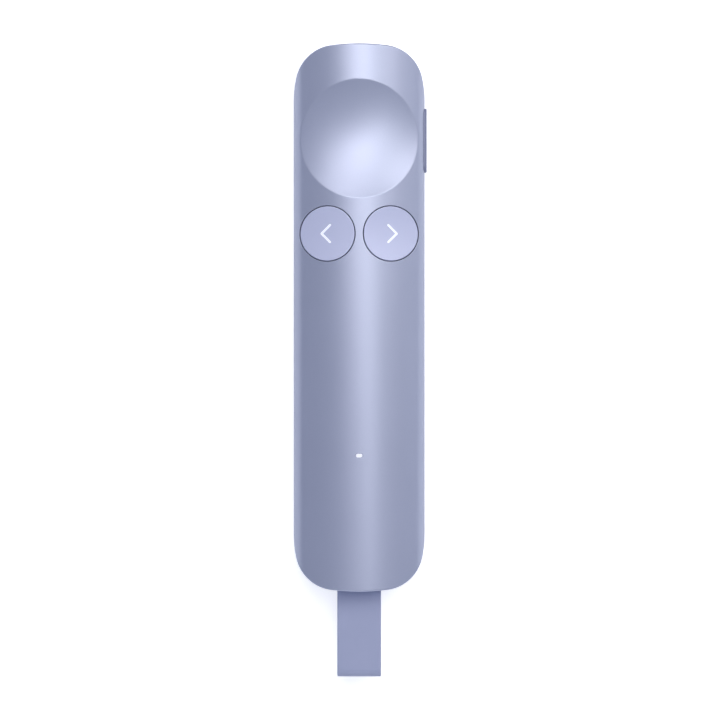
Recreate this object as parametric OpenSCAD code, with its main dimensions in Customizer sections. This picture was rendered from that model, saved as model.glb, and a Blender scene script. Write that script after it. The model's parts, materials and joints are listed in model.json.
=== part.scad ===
// Wireless presentation clicker with a thumb dish, two arrow buttons, a side key and a stowed receiver.
// Lengths in mm. X runs across the body with the side key at +X, Y from tail to head, Z up.
// The origin is the middle of the flat underside.

/* [Body] */
// Length of the body from tail to head
body_len = 131; // [124:1:150]
// Width of the body
body_w = 31.6; // [30.6:0.2:36]
// Thickness from the flat underside to the crown
body_t = 15.5; // [15.2:0.1:17]
// Share of the thickness below the widest line of the section
waist_share = 0.484; // [0.474:0.002:0.508]
// Radius of the shoulders above the widest line
shoulder_r = 5; // [4.6:0.1:5.4]
// Wall of both shells
wall = 1.5; // [1.3:0.1:1.6]
// Radius of the arc across each end, seen from above
end_arc_r = 65; // [50:1:80]
// Radius of the four corners, seen from above
corner_r = 9.6; // [8.8:0.1:10.4]
// Radius of the arc that eases each flank into its corner
flank_arc_r = 27.8; // [25:0.2:32]
// Length at each end over which the flanks draw in
end_taper_len = 13.6; // [13:0.2:14.4]
// Depth of the line where the shells meet below the widest line
split_drop = 3.1; // [2.9:0.1:3.5]
// Open line between the shells
seam_gap = 0.15; // [0.1:0.05:0.25]

/* [Dish] */
// Land between the dish and the head end
dish_ahead = 8.5; // [7.5:0.1:10]
// Land between the dish and each flank
dish_beside = 1.6; // [1.5:0.1:2.4]
// Depth of the dish's centre below the crown
dish_depth = 2.3; // [1.8:0.1:2.5]
// Step left all round the dish's rim
dish_lip = 0.1; // [0.05:0.05:0.2]

/* [Buttons] */
// Land between the dish and the buttons
button_ahead = 2.94; // [2.7:0.02:5]
// Land between each button and its flank
button_beside = 1.4; // [1.4:0.1:2.2]
// Land between the two buttons
button_between = 1.6; // [1.5:0.1:2.6]
// Gap round a button cap
cap_gap = 0.25; // [0.2:0.05:0.3]
// Depth of a cap's middle below the crown
cap_sink = 0.66; // [0.55:0.01:0.75]
// Travel of a button
button_travel = 0.35; // [0.2:0.05:0.4]
// Length of each stroke of an arrow, between the centres of its round ends
arrow_stroke = 3.25; // [2.4:0.05:3.8]
// Thickness of an arrow's stroke
arrow_thick = 0.5; // [0.4:0.05:0.8]
// Angle of each stroke to the line across the body
arrow_angle = 41.5; // [30:0.5:60]
// Distance of an arrow's tip from its cap's centre
arrow_tip = 1.67; // [1.2:0.01:2.4]

/* [Side key] */
// Length of the side key
key_len = 15.5; // [12:0.1:17]
// Height of the side key
key_h = 3.2; // [3:0.1:4.6]
// Stand of the side key out of the flank
key_proud = 0.5; // [0.45:0.05:0.8]
// Gap round the side key
key_gap = 0.15; // [0.1:0.05:0.2]
// Travel of the side key
key_travel = 0.4; // [0.2:0.05:0.4]

/* [Light] */
// Distance of the light from the tail end
light_inset = 32.5; // [31:0.1:36]
// Width of the light's window across the body
light_w = 1.7; // [1.4:0.1:2.4]
// Length of the light's window along the body
light_l = 1.15; // [1:0.05:1.4]

/* [Board] */
// Thickness of the main board
board_t = 1; // [0.8:0.1:1.2]
// Room between the main board and each flank
board_beside = 3.8; // [3.6:0.1:4.3]
// Depth of the main board's underside below the widest line
board_drop = 0.6; // [0.5:0.05:0.8]

/* [Battery] */
// Room between the battery and each flank
cell_beside = 6.8; // [6.8:0.1:8.8]
// Room between the battery and the posts of the tail screws
cell_behind = 1.3; // [1:0.1:6]
// Room between the battery and the board
cell_above = 0.6; // [0.4:0.1:1.4]

/* [Receiver] */
// Width of the receiver's cap
stow_w = 14.8; // [14:0.1:15]
// Room between the receiver's sleeve and the upper shell
stow_above = 1.55; // [1.35:0.05:1.95]
// Length of the receiver's cap
stow_len = 7; // [6.8:0.1:7.4]
// Width of the plug's steel shell
plug_w = 12; // [11.8:0.1:12.2]
// Height of the plug's steel shell
plug_h = 4.5; // [4.3:0.1:4.6]
// Length of the plug that stands out of the cap
plug_len = 11.75; // [11:0.05:12.4]

/* [Strap] */
// Width of the strap
strap_w = 10.4; // [8:0.1:10.6]
// Reach of the strap beyond the tail
strap_reach = 20.4; // [14:0.2:40]
// Thickness of the rubber
strap_t = 1.1; // [0.8:0.05:1.2]
// Inner radius of the strap's two folds
fold_r = 0.8; // [0.75:0.05:0.9]
// Swing of the strap up and down on its pin
strap_swing = 15; // [10:1:25]

/* [Hidden] */
$fn = 96;

// How far a cut runs past what it cuts
overrun = 1;
// Clearance of pieces that drop into each other, of a turning pin, and between layers that are stuck or set down
slip = 0.1;
pin_slip = 0.05;
part_gap = 0.05;

half_w = body_w / 2;
half_len = body_len / 2;
// The plan outline trims the section's widest line by this much, so that the two never meet in a tangent
flank_trim = 0.03;
section_w = half_w + flank_trim;
// The small rounds stand this far proud of the arcs that they ease, so that arcs cross cleanly
blend = 0.01;
waist_z = body_t * waist_share;
crown_rise = body_t - waist_z;
split_z = waist_z - split_drop;
shoulder_x = section_w - shoulder_r;
crown_r = (shoulder_x * shoulder_x + crown_rise * crown_rise - shoulder_r * shoulder_r)
  / (2 * (crown_rise - shoulder_r));
crown_z0 = body_t - crown_r;
belly_x = section_w - waist_z;

// The buttons stand at either side of the centre line, one land away from the dish
dish_r = half_w - dish_beside;
dish_y = half_len - dish_ahead - dish_r;
hole_r = (half_w - button_beside - button_between / 2) / 2;
cap_r = hole_r - cap_gap;
button_x = button_between / 2 + hole_r;
dish_to_button = dish_r + button_ahead + hole_r;
button_y = dish_y - sqrt(dish_to_button * dish_to_button - button_x * button_x);
light_y = light_inset - half_len;

// Depth of an arc of radius r at a chord's half length c
function sagitta(r, c) = r - sqrt(r * r - c * c);
// Radius of the arc that rises by s over a chord's half length c
function arc_radius(c, s) = (c * c + s * s) / (2 * s);
// Height of the crown or shoulder at a distance x from the centre line
function crown_z(x) = let (tangent_x = shoulder_x * crown_r / (crown_r - shoulder_r))
  x < tangent_x
    ? crown_z0 + sqrt(crown_r * crown_r - x * x)
    : waist_z + sqrt(shoulder_r * shoulder_r - (x - shoulder_x) * (x - shoulder_x));
// Height of the inner face of the upper shell at a distance x from the centre line, up to its shoulder
function ceiling_z(x) = crown_z0 + sqrt((crown_r - wall) * (crown_r - wall) - x * x);

// The corner arc's centre touches the flank arc and the end arc from inside
flank_c = [half_w - flank_arc_r, half_len - end_taper_len];
end_c = [0, half_len - end_arc_r];
flank_in = flank_arc_r - corner_r;
end_in = end_arc_r - corner_r;
c_to_c = norm(end_c - flank_c);
along = (flank_in * flank_in - end_in * end_in + c_to_c * c_to_c) / (2 * c_to_c);
aside = sqrt(flank_in * flank_in - along * along);
c_dir = (end_c - flank_c) / c_to_c;
corner_c = flank_c + along * c_dir + aside * [-c_dir[1], c_dir[0]];

// A round sector of a circle, anticlockwise between the directions from its centre to two points
module sector(centre, radius, from, to) {
  reach = 2 * radius;
  from_dir = (from - centre) / norm(from - centre);
  to_dir = (to - centre) / norm(to - centre);
  intersection() {
    translate(centre) circle(radius);
    polygon([centre, centre + reach * from_dir, centre + reach * to_dir]);
  }
}

// Plan outline of the body, drawn in by inset all round
module outline(inset = 0) {
  straight = half_len - end_taper_len;
  square([body_w - 2 * inset, 2 * straight], center = true);
  for (end = [-1, 1]) {
    for (side = [-1, 1]) {
      flank = [side * flank_c[0], end * flank_c[1]];
      corner = [side * corner_c[0], end * corner_c[1]];
      widest = [side * half_w, flank[1]];
      sector(flank, flank_arc_r - inset, side == end ? widest : corner, side == end ? corner : widest);
      translate(corner) circle(corner_r + blend - inset);
    }
    sector(end * end_c, end_arc_r - inset, end * corner_c, end * [-corner_c[0], corner_c[1]]);
  }
}

// Cross-section of the body, drawn in by inset all round
module section(inset = 0) {
  intersection() {
    translate([-body_w, waist_z]) square([2 * body_w, body_t]);
    union() {
      sector([0, crown_z0], crown_r - inset, [shoulder_x, waist_z], [-shoulder_x, waist_z]);
      for (side = [-1, 1]) translate([side * shoulder_x, waist_z]) circle(shoulder_r + blend - inset);
    }
  }
  intersection() {
    translate([-body_w, waist_z - body_t]) square([2 * body_w, body_t]);
    union() {
      for (side = [-1, 1]) translate([side * belly_x, waist_z]) circle(waist_z - inset);
      translate([-belly_x, inset]) square([2 * belly_x, waist_z - inset]);
    }
  }
}

// The body's outer form, or a smaller one inside it
module body_form(inset = 0) {
  intersection() {
    rotate([90, 0, 0]) linear_extrude(body_len + 2 * overrun, center = true) section(inset);
    translate([0, 0, -overrun]) linear_extrude(body_t + 2 * overrun) outline(inset);
  }
}

// Upright slab from height z0 to z1
module slab(z0, z1) {
  translate([-body_w, -body_len, z0]) cube([2 * body_w, 2 * body_len, z1 - z0]);
}

// Everything below a saddle that dips along Y and is crowned across X; its middle is at top
module saddle(neck_r, arc_r, reach, top, tilt = 0) {
  translate([top[0] - neck_r * sin(tilt), top[1], top[2] - neck_r * cos(tilt)])
    rotate([90, 0, 0]) rotate_extrude()
      difference() {
        translate([0, -reach]) square([neck_r + sagitta(arc_r, reach), 2 * reach]);
        translate([neck_r + arc_r, 0]) circle(arc_r);
      }
}

// Rectangle with round corners, centred
module round_rect(w, h, r) {
  square([w - 2 * r, h], center = true);
  square([w, h - 2 * r], center = true);
  for (sx = [-1, 1], sy = [-1, 1]) translate([sx * (w / 2 - r), sy * (h / 2 - r)]) circle(r);
}

// Round-ended slot shape, centred, its length across
module obround(w, h) {
  square([w - h, h], center = true);
  for (side = [-1, 1]) translate([side * (w - h) / 2, 0]) circle(h / 2);
}

// Box centred in X and Y on a point, from height z0 to z1
module block(centre, size, z0, z1) {
  translate([centre[0] - size[0] / 2, centre[1] - size[1] / 2, z0]) cube([size[0], size[1], z1 - z0]);
}

// Carries a flat shape along Y from y0 to y1, with the shape's middle at height z
module along_y(y0, y1, z) {
  translate([0, y1, z]) rotate([90, 0, 0]) linear_extrude(y1 - y0) children();
}

// Carries a flat shape along X from x0 to x1; its own X then runs along Y and its own Y upwards
module along_x(x0, x1, y, z) {
  translate([x0, y, z]) rotate([90, 0, 90]) linear_extrude(x1 - x0) children();
}

// Dish: its dip along and its crown across both end one lip below the body's surface at the rim
dish_mid_z = body_t - dish_depth;
dish_arc_r = arc_radius(dish_r, dish_depth - dish_lip);
dish_neck_r = arc_radius(dish_r, dish_mid_z - crown_z(dish_r) + dish_lip);

module dish_floor(inset = 0) {
  saddle(dish_neck_r - inset, dish_arc_r + inset, dish_r + wall + overrun, [0, dish_y, dish_mid_z - inset]);
}

// Buttons: the cap's top is let in by flush below the crown at its rim
flush = 0.05;
cap_in_z = crown_z(button_x - cap_r) - flush;
cap_out_z = crown_z(button_x + cap_r) - flush;
cap_mid_z = crown_z(button_x) - cap_sink;
cap_tilt = atan2(cap_in_z - cap_out_z, 2 * cap_r);
cap_rise = (cap_mid_z - (cap_in_z + cap_out_z) / 2) * cos(cap_tilt);
cap_neck_r = arc_radius(cap_r / cos(cap_tilt), cap_rise);
cap_arc_r = arc_radius(cap_r, cap_sink - flush);
cap_wall = 1.2;
arrow_deep = 0.5;
// The button holes end in a floor inside the flank, and the caps' skirts stop above it at full travel
hole_above_waist = 1.9;
hole_floor_z = waist_z + hole_above_waist;
skirt_clear = 0.15;
skirt_z = hole_floor_z + button_travel + skirt_clear;
// Tabs of the caps and the collars that they stop under
tab_w = 4;
tab_t = 1;
tab_reach = 1.4;
seat_above_waist = 4.2;
seat_z = waist_z + seat_above_waist;
collar_wall = 1.8;

module cap_top(inset = 0) {
  saddle(cap_neck_r - inset, cap_arc_r + inset, cap_r + overrun,
    [button_x, button_y, cap_mid_z - inset], cap_tilt);
}

// Switches under the buttons
board_z = waist_z - board_drop;
board_top = board_z + board_t;
switch_size = [4.2, 3.2];
switch_h = 1.3;
plunger_r = 0.75;
plunger_stand = 0.4;
plunger_base = 0.45;
plunger_top = board_top + switch_h + plunger_stand;
post_r = 1.3;

// Side key and its switch
key_tab_len = 1.6;
key_tab_h = 2.4;
key_tab_t = 0.9;
key_depth = 2.9;
key_back_x = half_w - key_depth;
key_floor_z = waist_z - key_h / 2 - key_gap - slip;
side_switch_size = [2.7, 4.6];
side_switch_h = 1.6;
side_switch_x = half_w - board_beside - side_switch_size[0] / 2 - slip;
side_plunger_size = [2.4, 0.9];
side_plunger_z = board_top + side_switch_h / 2;
side_slot_x = side_switch_x - side_switch_size[0] / 4;

// Lip between the shells
lip_h = 1;
lip_in = 1.1;
lip_t = 0.6;
lip_root = 0.2;

// Case screws, their posts in the lower shell and their bosses in the upper shell
screw_x = 6.2;
head_screw_inset = 11.5;
tail_screw_inset = 25.5;
head_screw_y = half_len - head_screw_inset;
tail_screw_y = tail_screw_inset - half_len;
screw_spots = [for (x = [-screw_x, screw_x], y = [tail_screw_y, head_screw_y]) [x, y]];
screw_r = 0.9;
screw_head_r = 1.8;
screw_head_t = 1.2;
screw_sunk = 0.5;
screw_above_waist = 3.8;
hex_key = 1.3;
hex_deep = 0.7;
post_wall = 0.9;
boss_r = 2.2;
seat_floor = screw_sunk + screw_head_t;
screw_len = waist_z + screw_above_waist - seat_floor;
screw_post_r = screw_head_r + slip + post_wall;

// Light pipe
light_flange = 1.2;
light_flange_t = 0.8;
status_h = 0.8;

// Chips and small parts on the board, placed from the middle of the group
chip_h = 0.9;
chips_behind = 18;
chips_mid = [0, button_y - chips_behind];
radio_spot = chips_mid + [-4.5, 0];
radio_size = [6, 6];
sensor_spot = chips_mid + [7.5, 1];
sensor_size = [3, 3];
power_size = [4, 4];
crystal_spot = chips_mid + [-4.5, -6];
crystal_size = [3.2, 2.5];
antenna_spot = chips_mid + [-7, -13.5];
antenna_size = [2, 7];
small_part_size = [1, 0.5];
parts_in_row = 5;
parts_pitch = 1.5;

// Receiver, its bay and its strap
stow_below = 1.25;
stow_r = 2.4;
bay_slip = 0.15;
sleeve_wall = 0.8;
sleeve_grow = bay_slip + sleeve_wall;
stow_sleeve_h = body_t - 2 * wall - stow_above - stow_below;
stow_h = stow_sleeve_h - 2 * sleeve_grow;
stow_z = wall + stow_below + stow_sleeve_h / 2;
plug_sleeve_h = plug_h + 2 * sleeve_grow;
sleeve_rib_w = 8;
rib_t = 1.2;
tail_y = -half_len;
cap_in_y = tail_y + stow_len;
stow_sleeve_y = cap_in_y + 2 * slip;
plug_root = 2;
plug_wall = 0.3;
plug_r = 0.6;
plug_hole = 2;
plug_hole_x = 2.8;
plug_tip_y = cap_in_y + plug_len;
bay_end_clear = 0.4;
bay_end_y = plug_tip_y + bay_end_clear;
catch_dot_r = 0.8;
catch_inset = 5;
catch_y = bay_end_y - catch_inset;
catch_size = [5, 9];
catch_t = 0.25;
tongue_w = plug_w - 2 * plug_wall - 2 * slip;
tongue_floor = stow_z - plug_h / 2 + plug_wall;
tongue_t = 1.85;
tongue_set = 0.3;
tongue_y1 = plug_tip_y - tongue_set;
card_len = 3;
card_y0 = cap_in_y - plug_root + slip;
tongue_y0 = card_y0 + card_len;
card_chip = 2.2;
contact_w = 1;
contact_t = 0.2;
contact_x = [-3.5, -1, 1, 3.5];
fold_out_r = fold_r + strap_t;
pin_r = fold_r - pin_slip;
pin_depth = 1.4;
pin_y = tail_y + pin_depth;
slot_slip = 0.15;
slot_r = fold_out_r + slot_slip;
pin_grip = 1.2;
pin_half = strap_w / 2 + pin_grip;
strap_end_y = tail_y - strap_reach + fold_out_r;

// Charge socket in the head end
socket_w = 8.94;
socket_h = 3.26;
socket_len = 7.3;
socket_wall = 0.3;
socket_back = 0.9;
socket_set = 0.3;
socket_z = board_z + board_t / 2;
socket_y1 = half_len - socket_set;
socket_y0 = socket_y1 - socket_len;
charge_tongue_size = [6.7, 0.7];
charge_tongue_set = 1.3;

// Battery under the board, stuck to the floor
tape_t = 0.2;
tape_in = 4.6;
cell_ahead = 18;
cell_y1 = button_y - cell_ahead;
cell_y0 = tail_screw_y + screw_post_r + cell_behind;
cell_len = cell_y1 - cell_y0;
cell_w = body_w - 2 * cell_beside;
cell_t = board_z - cell_above - tape_t - wall;
cell_r = 1.1;
lead_r = 0.4;
lead_pitch = 1.3;
lead_len = 7;
lead_z = wall + tape_t + cell_t / 2;
battery_plug_size = [5, 4.2];

// Upper shell: the crowned housing with its dish, button collars and screw bosses
module upper_shell() {
  color([0.70, 0.73, 0.87]) difference() {
    union() {
      difference() {
        body_form();
        body_form(wall);
      }
      intersection() {
        body_form();
        union() {
          difference() {
            translate([0, dish_y, waist_z]) cylinder(r = dish_r + wall, h = body_t);
            dish_floor(wall);
          }
          for (side = [-1, 1]) translate([side * button_x, button_y, seat_z])
            cylinder(r = hole_r + collar_wall, h = body_t);
          for (spot = screw_spots) translate([spot[0], spot[1], board_top]) cylinder(r = boss_r, h = body_t);
        }
      }
    }
    slab(-overrun, split_z + seam_gap);
    translate([0, 0, split_z]) linear_extrude(lip_h) outline(lip_in - slip);
    difference() {
      translate([0, dish_y, waist_z]) cylinder(r = dish_r, h = body_t);
      dish_floor();
    }
    for (side = [-1, 1]) translate([side * button_x, button_y, hole_floor_z]) cylinder(r = hole_r, h = body_t);
    for (spot = screw_spots) translate([spot[0], spot[1], board_top - overrun])
      cylinder(r = screw_r + pin_slip, h = seat_floor + screw_len - board_top + 2 * overrun);
    key_opening();
    light_opening();
    bay_opening();
    socket_opening();
  }
}

// Lower shell: the tray with the lip that the upper shell drops over, screw posts and ribs under the sleeve
module lower_shell() {
  color([0.66, 0.69, 0.83]) difference() {
    union() {
      difference() {
        body_form();
        body_form(wall);
        slab(split_z, body_t + overrun);
      }
      difference() {
        translate([0, 0, split_z - lip_root]) linear_extrude(lip_root + lip_h) difference() {
          outline(lip_in);
          outline(lip_in + lip_t);
        }
        key_relief();
      }
      for (spot = screw_spots) translate([spot[0], spot[1], wall / 2])
        cylinder(r = screw_post_r, h = board_z - wall / 2);
      block([0, cap_in_y - rib_t], [sleeve_rib_w, rib_t], wall / 2, stow_z - stow_sleeve_h / 2);
      block([0, bay_end_y - rib_t], [sleeve_rib_w, rib_t], wall / 2, stow_z - plug_sleeve_h / 2);
    }
    for (spot = screw_spots) translate([spot[0], spot[1], -overrun]) {
      cylinder(r = screw_head_r + slip, h = seat_floor + overrun);
      cylinder(r = screw_r + slip, h = body_t);
    }
    bay_opening();
  }
}

module key_opening() {
  along_x(key_back_x, section_w + overrun, dish_y, waist_z) obround(key_len + 2 * key_gap, key_h + 2 * key_gap);
}

// Room that the lower shell's lip leaves for the side key
module key_relief() {
  block([half_w, dish_y], [half_w, key_len + 2 * key_tab_len + 2 * key_gap], key_floor_z, body_t);
}

module light_opening() {
  translate([0, light_y, ceiling_z(0) - overrun]) linear_extrude(body_t) obround(light_w, light_l);
}

module bay_opening() {
  along_y(tail_y - overrun, tail_y + 2 * wall, stow_z)
    round_rect(stow_w + 2 * bay_slip, stow_h + 2 * bay_slip, stow_r + bay_slip);
}

module socket_opening() {
  along_y(half_len - 2 * wall, half_len + overrun, socket_z) obround(socket_w + 2 * slip, socket_h + 2 * slip);
}

// Four socket-head screws, driven from the underside
module case_screws() {
  color([0.45, 0.46, 0.48]) for (spot = screw_spots) translate([spot[0], spot[1], screw_sunk]) difference() {
    union() {
      cylinder(r = screw_head_r, h = screw_head_t);
      cylinder(r = screw_r, h = screw_head_t + screw_len);
    }
    translate([0, 0, -overrun]) cylinder(r = hex_key / 2, h = hex_deep + overrun, $fn = 6);
  }
}

// Places a child on the next button's side, or mirrored on the back button's side
module on_side(side) {
  mirror([side < 0 ? 1 : 0, 0, 0]) children();
}

// A round button cap: skirt, crowned top, tabs that stop under the shell and a post on its switch
module cap(side) {
  on_side(side) {
    difference() {
      union() {
        intersection() {
          translate([button_x, button_y, skirt_z]) cylinder(r = cap_r, h = body_t);
          cap_top();
        }
        block([button_x, button_y], [tab_w, 2 * (hole_r + tab_reach)],
          seat_z - part_gap - tab_t, seat_z - part_gap);
      }
      difference() {
        intersection() {
          translate([button_x, button_y, skirt_z - overrun]) cylinder(r = cap_r - cap_wall, h = body_t);
          cap_top(cap_wall);
        }
        translate([button_x, button_y, skirt_z - overrun]) cylinder(r = post_r, h = body_t);
      }
      arrow_prism();
    }
    translate([button_x, button_y, plunger_top]) cylinder(r = post_r, h = skirt_z + overrun - plunger_top);
  }
}

// Outline of an arrow that points along +X, its tip away from the cap's centre
module arrow_outline() {
  translate([arrow_tip, 0]) {
    circle(arrow_thick / 2);
    for (turn = [180 - arrow_angle, 180 + arrow_angle]) rotate(turn) {
      translate([0, -arrow_thick / 2]) square([arrow_stroke, arrow_thick]);
      translate([arrow_stroke, 0]) circle(arrow_thick / 2);
    }
  }
}

// Upright prism on the arrow's outline, its foot below the cap's top and shaped like it
module arrow_prism() {
  difference() {
    translate([button_x, button_y, skirt_z + overrun]) linear_extrude(body_t) arrow_outline();
    cap_top(arrow_deep);
  }
}

module arrow(side) {
  on_side(side) intersection() {
    arrow_prism();
    cap_top();
  }
}

module back_button() {
  color([0.71, 0.73, 0.86]) cap(-1);
}

module next_button() {
  color([0.71, 0.73, 0.86]) cap(1);
}

module back_arrow() {
  color([0.95, 0.96, 0.99]) arrow(-1);
}

module next_arrow() {
  color([0.95, 0.96, 0.99]) arrow(1);
}

// Side key: a round-ended plate whose outer face follows the flank, with a tab at each end behind the wall
module side_key() {
  color([0.54, 0.56, 0.67]) {
    intersection() {
      along_x(key_back_x, half_w + key_proud, dish_y, waist_z) obround(key_len, key_h);
      along_y(0, half_len, 0) section(-key_proud);
    }
    along_x(key_back_x, key_back_x + key_tab_t, dish_y, waist_z)
      square([key_len + 2 * key_tab_len, key_tab_h], center = true);
  }
}

// Light pipe: a clear column from the status light to the window, with a flange under the shell
module light_pipe() {
  flange_top = ceiling_z(light_w / 2 + light_flange) - slip;
  color([0.97, 0.98, 1]) intersection() {
    body_form();
    union() {
      translate([0, light_y, board_top + status_h + slip]) linear_extrude(body_t)
        obround(light_w - 2 * part_gap, light_l - 2 * part_gap);
      block([0, light_y], [light_w + 2 * light_flange, light_l + 2 * light_flange],
        flange_top - light_flange_t, flange_top);
    }
  }
}

// Main board with its screw holes and the notch for the charge socket
module main_board() {
  y0 = bay_end_y + sleeve_wall + 2 * slip;
  color([0.10, 0.32, 0.22]) translate([0, 0, board_z]) linear_extrude(board_t) difference() {
    intersection() {
      outline(board_beside);
      translate([-half_w, y0]) square([body_w, half_len - y0]);
    }
    for (spot = screw_spots) translate(spot) circle(screw_r + slip);
    translate([-socket_w / 2 - slip, socket_y0 - slip]) square([socket_w + 2 * slip, socket_len]);
  }
}

// A chip on the board's top: centre, plan size and height
module chip(centre, size, h = chip_h) {
  block(centre, size, board_top, board_top + h);
}

module radio_chip() {
  color([0.12, 0.12, 0.13]) chip(radio_spot, radio_size);
}

module motion_sensor() {
  color([0.16, 0.16, 0.18]) chip(sensor_spot, sensor_size);
}

module power_chip() {
  color([0.13, 0.13, 0.14]) chip([0, head_screw_y], power_size);
}

module crystal() {
  color([0.80, 0.80, 0.78]) chip(crystal_spot, crystal_size);
}

module chip_antenna() {
  color([0.90, 0.90, 0.86]) chip(antenna_spot, antenna_size);
}

module status_light() {
  color([0.98, 0.97, 0.90]) chip([0, light_y], [light_w, light_w], status_h);
}

// Two rows of capacitors and resistors beside the radio chip
module small_parts() {
  color([0.72, 0.60, 0.42]) for (row = [0, 1], i = [0:parts_in_row - 1])
    chip(radio_spot + [radio_size[0] + row * parts_pitch, (i - parts_in_row / 2) * parts_pitch],
      small_part_size, small_part_size[1]);
}

// Tact switch housing with the bore that its plunger runs in
module switch_housing(side) {
  on_side(side) difference() {
    block([button_x, button_y], switch_size, board_top, board_top + switch_h);
    translate([button_x, button_y, board_top + plunger_base]) cylinder(r = plunger_r + pin_slip, h = switch_h);
  }
}

module plunger(side) {
  base = board_top + plunger_base + button_travel + slip;
  on_side(side) translate([button_x, button_y, base]) cylinder(r = plunger_r, h = plunger_top - base);
}

module back_switch() {
  color([0.20, 0.20, 0.22]) switch_housing(-1);
}

module next_switch() {
  color([0.20, 0.20, 0.22]) switch_housing(1);
}

module back_plunger() {
  color([0.85, 0.85, 0.82]) plunger(-1);
}

module next_plunger() {
  color([0.85, 0.85, 0.82]) plunger(1);
}

// Side-push tact switch at the board's edge
module side_switch() {
  color([0.20, 0.20, 0.22]) difference() {
    block([side_switch_x, dish_y], side_switch_size, board_top, board_top + side_switch_h);
    along_x(side_slot_x, half_w, dish_y, side_plunger_z)
      square([side_plunger_size[0] + 2 * slip, side_plunger_size[1] + 2 * slip], center = true);
  }
}

module side_plunger() {
  color([0.85, 0.85, 0.82]) along_x(side_slot_x + key_travel + slip, key_back_x, dish_y, side_plunger_z)
    square(side_plunger_size, center = true);
}

// Charge socket: a drawn steel shell with a tongue in its middle
module charge_socket() {
  color([0.75, 0.76, 0.78]) difference() {
    along_y(socket_y0, socket_y1, socket_z) obround(socket_w, socket_h);
    along_y(socket_y0 + socket_back, socket_y1 + overrun, socket_z)
      obround(socket_w - 2 * socket_wall, socket_h - 2 * socket_wall);
  }
}

module charge_tongue() {
  color([0.14, 0.14, 0.15]) along_y(socket_y0 + socket_back, socket_y1 - charge_tongue_set, socket_z)
    square(charge_tongue_size, center = true);
}

// Battery: a pouch cell stuck to the floor, two leads and the plug under the board
module battery_tape() {
  color([0.90, 0.90, 0.88]) block([0, (cell_y0 + cell_y1) / 2], [cell_w - 2 * tape_in, cell_len - 2 * tape_in],
    wall, wall + tape_t);
}

module battery_cell() {
  color([0.78, 0.79, 0.80]) along_y(cell_y0, cell_y1, lead_z) round_rect(cell_w, cell_t, cell_r);
}

module battery_lead(side) {
  translate([side * lead_pitch / 2, 0, 0]) along_y(cell_y1, cell_y1 + lead_len, lead_z) circle(lead_r);
}

module battery_lead_red() {
  color([0.75, 0.10, 0.10]) battery_lead(1);
}

module battery_lead_black() {
  color([0.08, 0.08, 0.08]) battery_lead(-1);
}

module battery_plug() {
  color([0.93, 0.92, 0.88]) block([0, cell_y1 + lead_len + battery_plug_size[1] / 2], battery_plug_size,
    lead_z - 2 * lead_r, board_z);
}

// Sleeve that guides the receiver, with the window of the catch
module bay_sleeve() {
  color([0.25, 0.26, 0.30]) difference() {
    intersection() {
      union() {
        along_y(tail_y, stow_sleeve_y + sleeve_wall, stow_z)
          round_rect(stow_w + 2 * sleeve_grow, stow_sleeve_h, stow_r + sleeve_grow);
        along_y(tail_y, bay_end_y + sleeve_wall, stow_z)
          round_rect(plug_w + 2 * sleeve_grow, plug_sleeve_h, plug_r + sleeve_grow);
      }
      body_form(wall + part_gap);
    }
    along_y(tail_y - overrun, stow_sleeve_y, stow_z)
      round_rect(stow_w + 2 * bay_slip, stow_h + 2 * bay_slip, stow_r + bay_slip);
    along_y(tail_y, bay_end_y, stow_z) round_rect(plug_w + 2 * bay_slip, plug_h + 2 * bay_slip, plug_r + bay_slip);
    translate([0, catch_y, stow_z]) cylinder(r = catch_dot_r + 2 * slip, h = body_t);
  }
}

// Catch: a leaf spring on the sleeve whose dimple presses on the plug
module receiver_catch() {
  top = stow_z + plug_sleeve_h / 2;
  dot_z = stow_z + plug_h / 2 + slip;
  color([0.80, 0.80, 0.78]) {
    block([0, catch_y], catch_size, top, top + catch_t);
    translate([0, catch_y, dot_z]) cylinder(r = catch_dot_r, h = top - dot_z);
  }
}

// Cap of the receiver: its outer face follows the tail, and the strap's slot flares to let it swing
module receiver_cap() {
  color([0.64, 0.66, 0.79]) difference() {
    intersection() {
      along_y(tail_y - overrun, cap_in_y, stow_z) round_rect(stow_w, stow_h, stow_r);
      translate([0, 0, -overrun]) linear_extrude(body_t + 2 * overrun) outline();
    }
    along_x(-strap_w / 2 - slot_slip, strap_w / 2 + slot_slip, pin_y, stow_z) {
      circle(slot_r);
      for (swing = [-strap_swing, strap_swing]) rotate(180 + swing)
        translate([0, -slot_r]) square([2 * slot_r, 2 * slot_r]);
    }
    along_x(-pin_half - slip, pin_half + slip, pin_y, stow_z) circle(pin_r + pin_slip);
    along_y(cap_in_y - plug_root, cap_in_y + overrun, stow_z)
      round_rect(plug_w + 2 * part_gap, plug_h + 2 * part_gap, plug_r + part_gap);
  }
}

// The plug's folded steel shell with its two catch holes on each face
module receiver_plug() {
  color([0.78, 0.79, 0.81]) difference() {
    along_y(cap_in_y - plug_root, plug_tip_y, stow_z) round_rect(plug_w, plug_h, plug_r);
    along_y(cap_in_y - plug_root - overrun, plug_tip_y + overrun, stow_z)
      round_rect(plug_w - 2 * plug_wall, plug_h - 2 * plug_wall, plug_r - plug_wall);
    for (side = [-1, 1]) block([side * plug_hole_x, plug_tip_y - plug_len / 2], [plug_hole, plug_hole],
      stow_z - plug_h, stow_z + plug_h);
  }
}

module receiver_tongue() {
  color([0.12, 0.12, 0.13]) block([0, (tongue_y0 + tongue_y1) / 2], [tongue_w, tongue_y1 - tongue_y0],
    tongue_floor, tongue_floor + tongue_t);
}

// Four contact strips on the tongue
module receiver_contacts() {
  color([0.83, 0.66, 0.30]) for (x = contact_x) block([x, (tongue_y0 + tongue_y1) / 2],
    [contact_w, tongue_y1 - tongue_y0 - contact_w], tongue_floor + tongue_t, tongue_floor + tongue_t + contact_t);
}

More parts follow.
